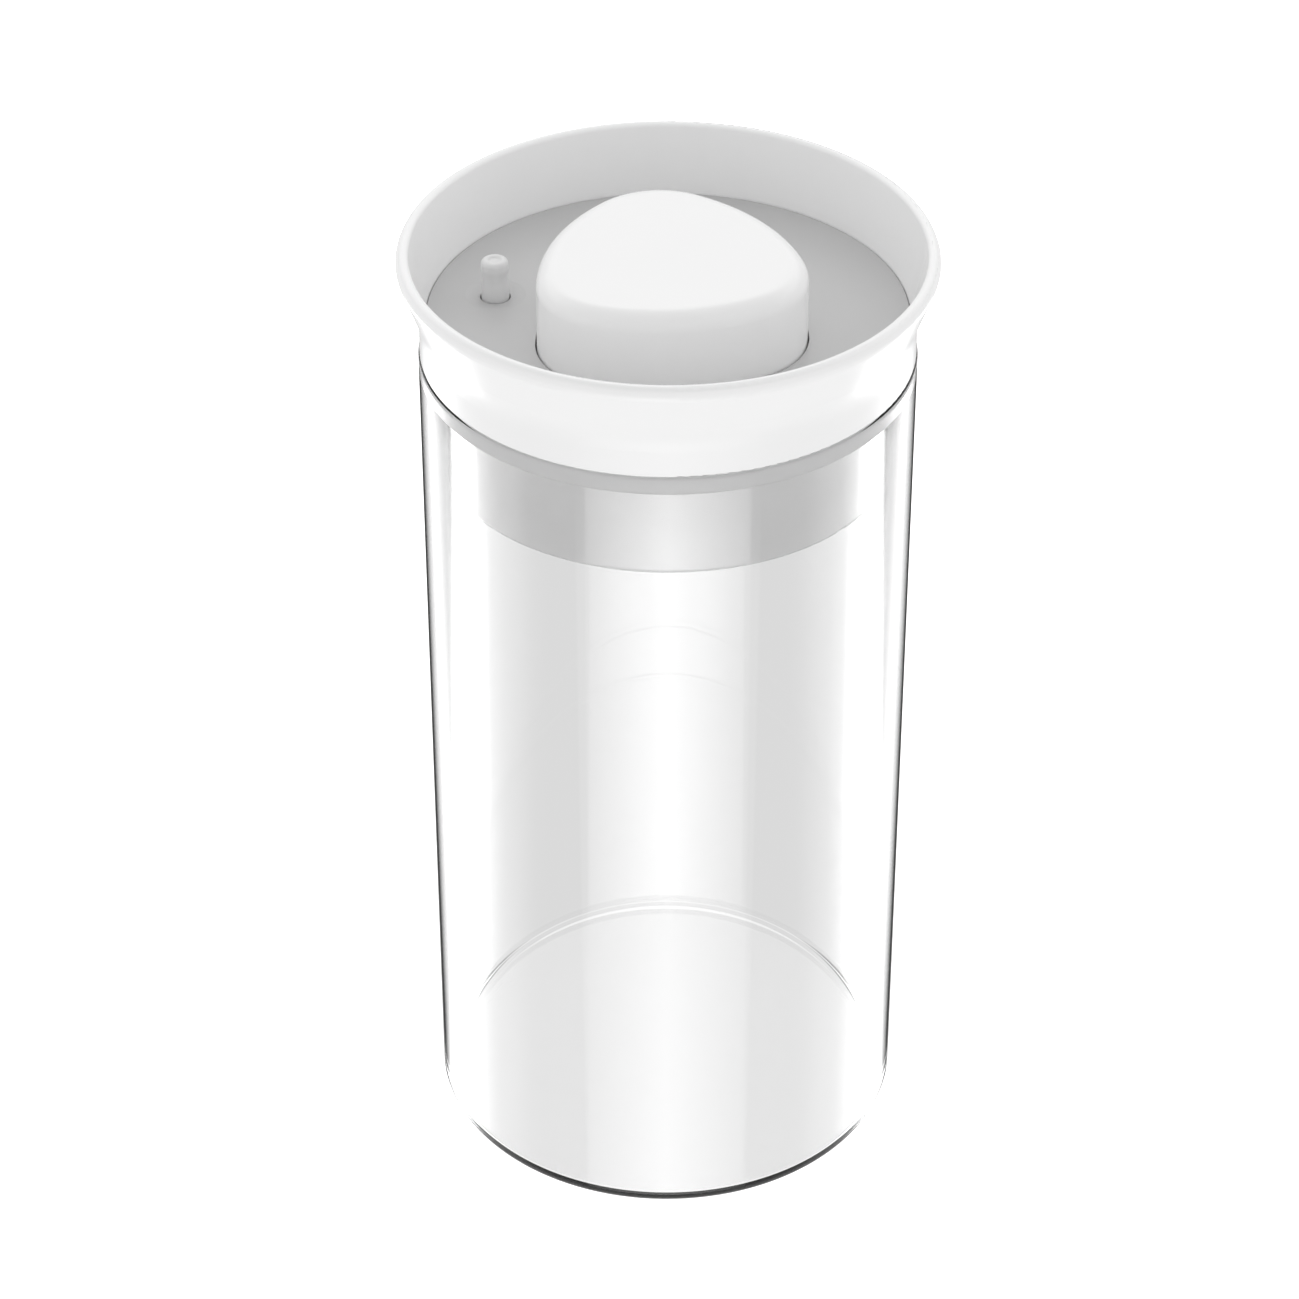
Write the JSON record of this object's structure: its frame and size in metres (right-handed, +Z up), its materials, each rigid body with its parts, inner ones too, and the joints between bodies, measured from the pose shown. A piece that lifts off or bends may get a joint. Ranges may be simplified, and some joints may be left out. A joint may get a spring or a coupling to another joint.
{
  "type": "tennis ball can",
  "caption": "Clear round canister with a push-in plug lid, flared bowl rim, press knob that pumps air out, and a pull pin that lets air back in.",
  "frame": {"origin": "centre of the jar's underside, on the plane it stands on", "axes": "+Z up along the jar's axis, towards the lid; -Y is the front, where the knob sits nearer the rim; the release pin is on the -X side"},
  "size_m": [0.0948, 0.0948, 0.1852],
  "materials": {
    "clear_wall": "clear, polished, colourless",
    "white_lid": "white, moulded, soft sheen",
    "white_knob": "white, moulded, smooth",
    "inner_plastic": "natural white, moulded",
    "pale_seal": "translucent white silicone",
    "dark_seal": "black nitrile rubber",
    "steel": "plain stainless"
  },
  "bodies": {
    "jar": {"jar": "clear_wall"},
    "lid": {"lid_ring": "white_lid", "lid_deck": "white_lid", "plug_shell": "white_lid", "main_gasket": "pale_seal", "lid_screws": "steel", "pump_cylinder": "inner_plastic", "cylinder_seal": "dark_seal", "cylinder_cap": "inner_plastic", "inlet_valve": "pale_seal", "inlet_strainer": "white_lid"},
    "knob": {"knob_cap": "white_knob", "piston_rod": "inner_plastic", "piston": "inner_plastic", "piston_seal": "dark_seal", "knob_screw": "steel", "return_spring": "steel"},
    "pin": {"release_pin": "white_knob", "pin_seal": "pale_seal", "pin_spring": "steel"}
  },
  "joints": [
    {"name": "lid_lift", "type": "slide", "parent": "jar", "child": "lid", "axis": [0, 0, 1], "range_m": [0, 0.12]},
    {"name": "knob_press", "type": "slide", "parent": "lid", "child": "knob", "axis": [0, 0, 1], "range_m": [-0.012, 0], "stiffness_N_per_m": 400, "springref_m": 0.008, "deforming": ["return_spring"]},
    {"name": "pin_pull", "type": "slide", "parent": "lid", "child": "pin", "axis": [0, 0, 1], "range_m": [0, 0.003], "stiffness_N_per_m": 300, "springref_m": -0.002, "deforming": ["pin_spring"]}
  ]
}
